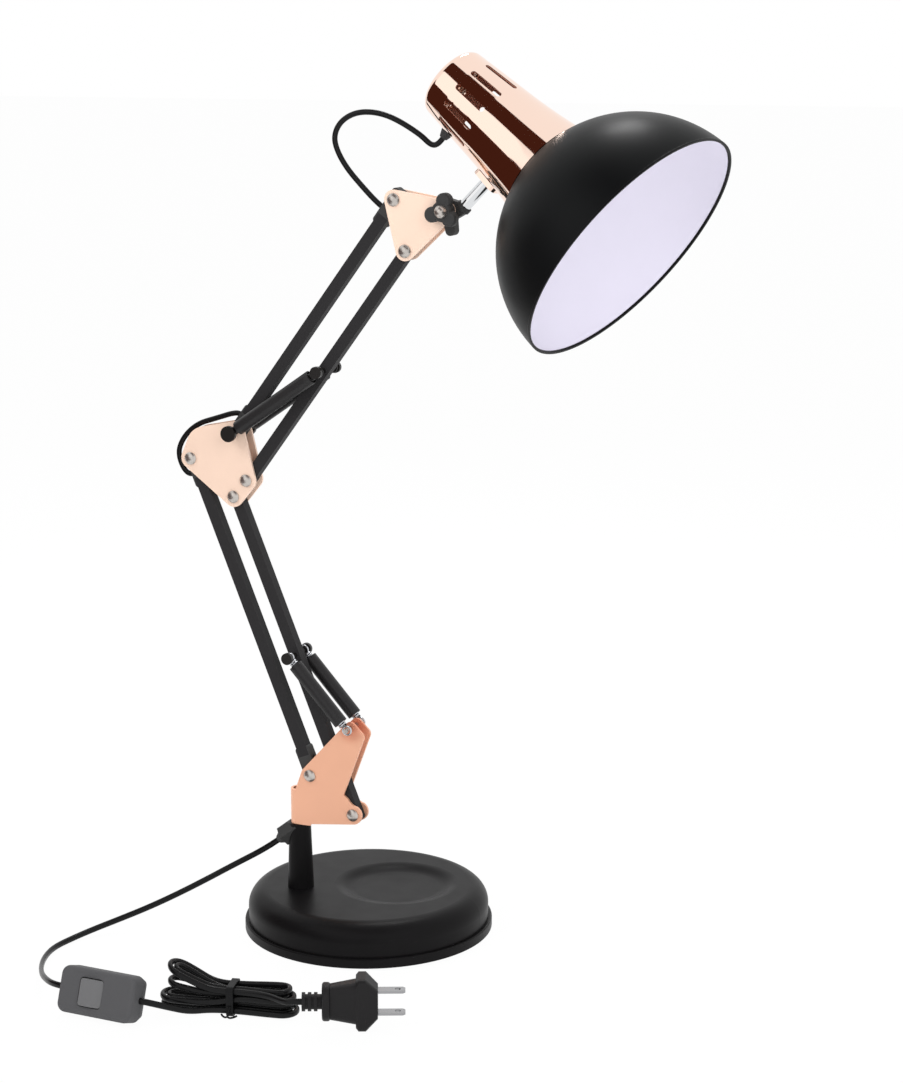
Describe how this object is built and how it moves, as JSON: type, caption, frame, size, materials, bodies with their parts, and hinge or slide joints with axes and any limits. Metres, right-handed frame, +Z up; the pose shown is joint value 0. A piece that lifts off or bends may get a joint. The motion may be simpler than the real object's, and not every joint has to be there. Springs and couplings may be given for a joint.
{
  "type": "architect lamp",
  "caption": "Desk lamp on a weighted round base, with a sprung parallelogram arm, a tilting dome shade with a vented socket cover, and a cord with a switch and plug.",
  "frame": {"origin": "centre of the base's underside", "axes": "+Z up, +X from the post towards the head, the arm moves in a plane parallel to XZ"},
  "size_m": [0.3739, 0.2723, 0.5215],
  "materials": {
    "satin_black": "satin black paint",
    "iron": "raw casting",
    "pad": "matt",
    "steel": "plain steel",
    "rose_fork": "satin rose plating",
    "rose_plate": "satin pale rose plating",
    "bright_bolt": "bright plating",
    "black_pin": "black",
    "spring_wire": "bright wire",
    "sleeve": "smooth black",
    "moulded_black": "moulded black",
    "chrome_stem": "bright plating",
    "copper": "polished copper plating",
    "shade_paint": "satin black outside, flat white inside",
    "holder": "moulded white",
    "brass_parts": "plain brass",
    "lead": "smooth black",
    "cord": "smooth black",
    "tie": "black",
    "switch_shell": "dark grey",
    "switch_rocker": "grey",
    "plug": "moulded black",
    "blade": "nickel plated"
  },
  "bodies": {
    "base": {"base_tray": "satin_black", "foot_pad": "pad", "base_cover": "satin_black", "base_weight": "iron", "post": "satin_black", "post_nut": "steel", "cord_gland": "moulded_black", "supply_cord": "cord", "switch_front": "switch_shell", "switch_rear": "switch_shell", "cord_hank": "cord", "hank_tie": "tie", "plug_body": "plug", "plug_blades": "blade"},
    "rocker": {"switch_rocker": "switch_rocker"},
    "fork": {"fork": "rose_fork", "fork_spigot": "steel", "fork_bolts": "bright_bolt", "fork_nuts": "bright_bolt", "fork_lead": "lead"},
    "lower_rear": {"lower_rear_rod": "satin_black", "lower_rear_ends": "moulded_black", "lower_lead": "lead"},
    "lower_front": {"lower_front_rod": "satin_black", "lower_spring_pin": "black_pin", "lower_springs": "spring_wire", "lower_sleeves": "sleeve"},
    "elbow": {"elbow_plate_front": "rose_plate", "elbow_plate_rear": "rose_plate", "elbow_bolts": "bright_bolt", "elbow_nuts": "bright_bolt", "elbow_spring_pin": "black_pin", "elbow_lead_upper": "lead", "elbow_lead_lower": "lead"},
    "upper_rear": {"upper_rear_rod": "satin_black", "upper_rear_ends": "moulded_black", "upper_lead": "lead"},
    "upper_front": {"upper_front_rod": "satin_black", "upper_spring_pin": "black_pin", "upper_springs": "spring_wire", "upper_sleeves": "sleeve"},
    "head_bracket": {"head_plate_front": "rose_plate", "head_plate_rear": "rose_plate", "head_bolts": "bright_bolt", "head_nuts": "bright_bolt", "tilt_bolt": "bright_bolt", "head_lead_lower": "lead"},
    "knob": {"tilt_knob": "moulded_black"},
    "tilt_block": {"tilt_block": "moulded_black", "stem": "chrome_stem", "head_lead_middle": "lead"},
    "head": {"shade": "shade_paint", "socket_cover": "copper", "stem_bracket": "copper", "lamp_holder": "holder", "screw_shell": "brass_parts", "centre_contact": "brass_parts", "shade_ring": "holder", "cord_bush": "moulded_black", "head_lead_upper": "lead"}
  },
  "joints": [
    {"name": "base_swivel", "type": "hinge", "parent": "base", "child": "fork", "pos_m": [-0.03653, -0.01861, 0.0662], "axis": [0, 0, 1], "range_deg": [-170, 170]},
    {"name": "lower_arm", "type": "hinge", "parent": "fork", "child": "lower_rear", "pos_m": [-0.02723, -0.01861, 0.0978], "axis": [0, 1, 0], "range_deg": [-12, 45], "deforming": ["fork_lead"]},
    {"name": "lower_front_pivot", "type": "hinge", "parent": "fork", "child": "lower_front", "pos_m": [0.00061, -0.01861, 0.07659], "axis": [0, 1, 0], "range_deg": [-12, 45], "deforming": ["lower_springs", "lower_sleeves"]},
    {"name": "elbow_level", "type": "hinge", "parent": "lower_rear", "child": "elbow", "pos_m": [-0.10257, -0.01861, 0.28522], "axis": [0, 1, 0], "range_deg": [-45, 12], "deforming": ["elbow_lead_lower"]},
    {"name": "upper_arm", "type": "hinge", "parent": "elbow", "child": "upper_rear", "pos_m": [-0.07318, -0.01861, 0.30272], "axis": [0, 1, 0], "range_deg": [-28, 75], "deforming": ["elbow_lead_upper"]},
    {"name": "upper_front_pivot", "type": "hinge", "parent": "elbow", "child": "upper_front", "pos_m": [-0.06634, -0.01861, 0.27423], "axis": [0, 1, 0], "range_deg": [-28, 75], "deforming": ["upper_springs", "upper_sleeves"]},
    {"name": "head_level", "type": "hinge", "parent": "upper_rear", "child": "head_bracket", "pos_m": [0.02884, -0.01861, 0.44058], "axis": [0, 1, 0], "range_deg": [-75, 28], "deforming": ["head_lead_lower"]},
    {"name": "head_tilt", "type": "hinge", "parent": "head_bracket", "child": "tilt_block", "pos_m": [0.06034, -0.01861, 0.43528], "axis": [0, 1, 0], "range_deg": [-50, 40], "deforming": ["head_lead_middle"]},
    {"name": "knob_turn", "type": "hinge", "parent": "head_bracket", "child": "knob", "pos_m": [0.06034, -0.01861, 0.43528], "axis": [0, 1, 0], "range_deg": [-120, 120]},
    {"name": "head_roll", "type": "hinge", "parent": "tilt_block", "child": "head", "pos_m": [0.06392, -0.01861, 0.4318], "axis": [0.6972, 0, 0.7169], "range_deg": [-80, 80], "deforming": ["head_lead_upper"]},
    {"name": "rocker_tip", "type": "hinge", "parent": "base", "child": "rocker", "pos_m": [-0.08185, -0.18942, 0.01489], "axis": [0.0173, 0.3416, 0.9397], "range_deg": [-12, 0]}
  ],
  "couplings": [
    {"joint": "lower_front_pivot", "follows": "lower_arm", "ratio": 1},
    {"joint": "elbow_level", "follows": "lower_arm", "ratio": -1},
    {"joint": "upper_front_pivot", "follows": "upper_arm", "ratio": 1},
    {"joint": "head_level", "follows": "upper_arm", "ratio": -1}
  ]
}
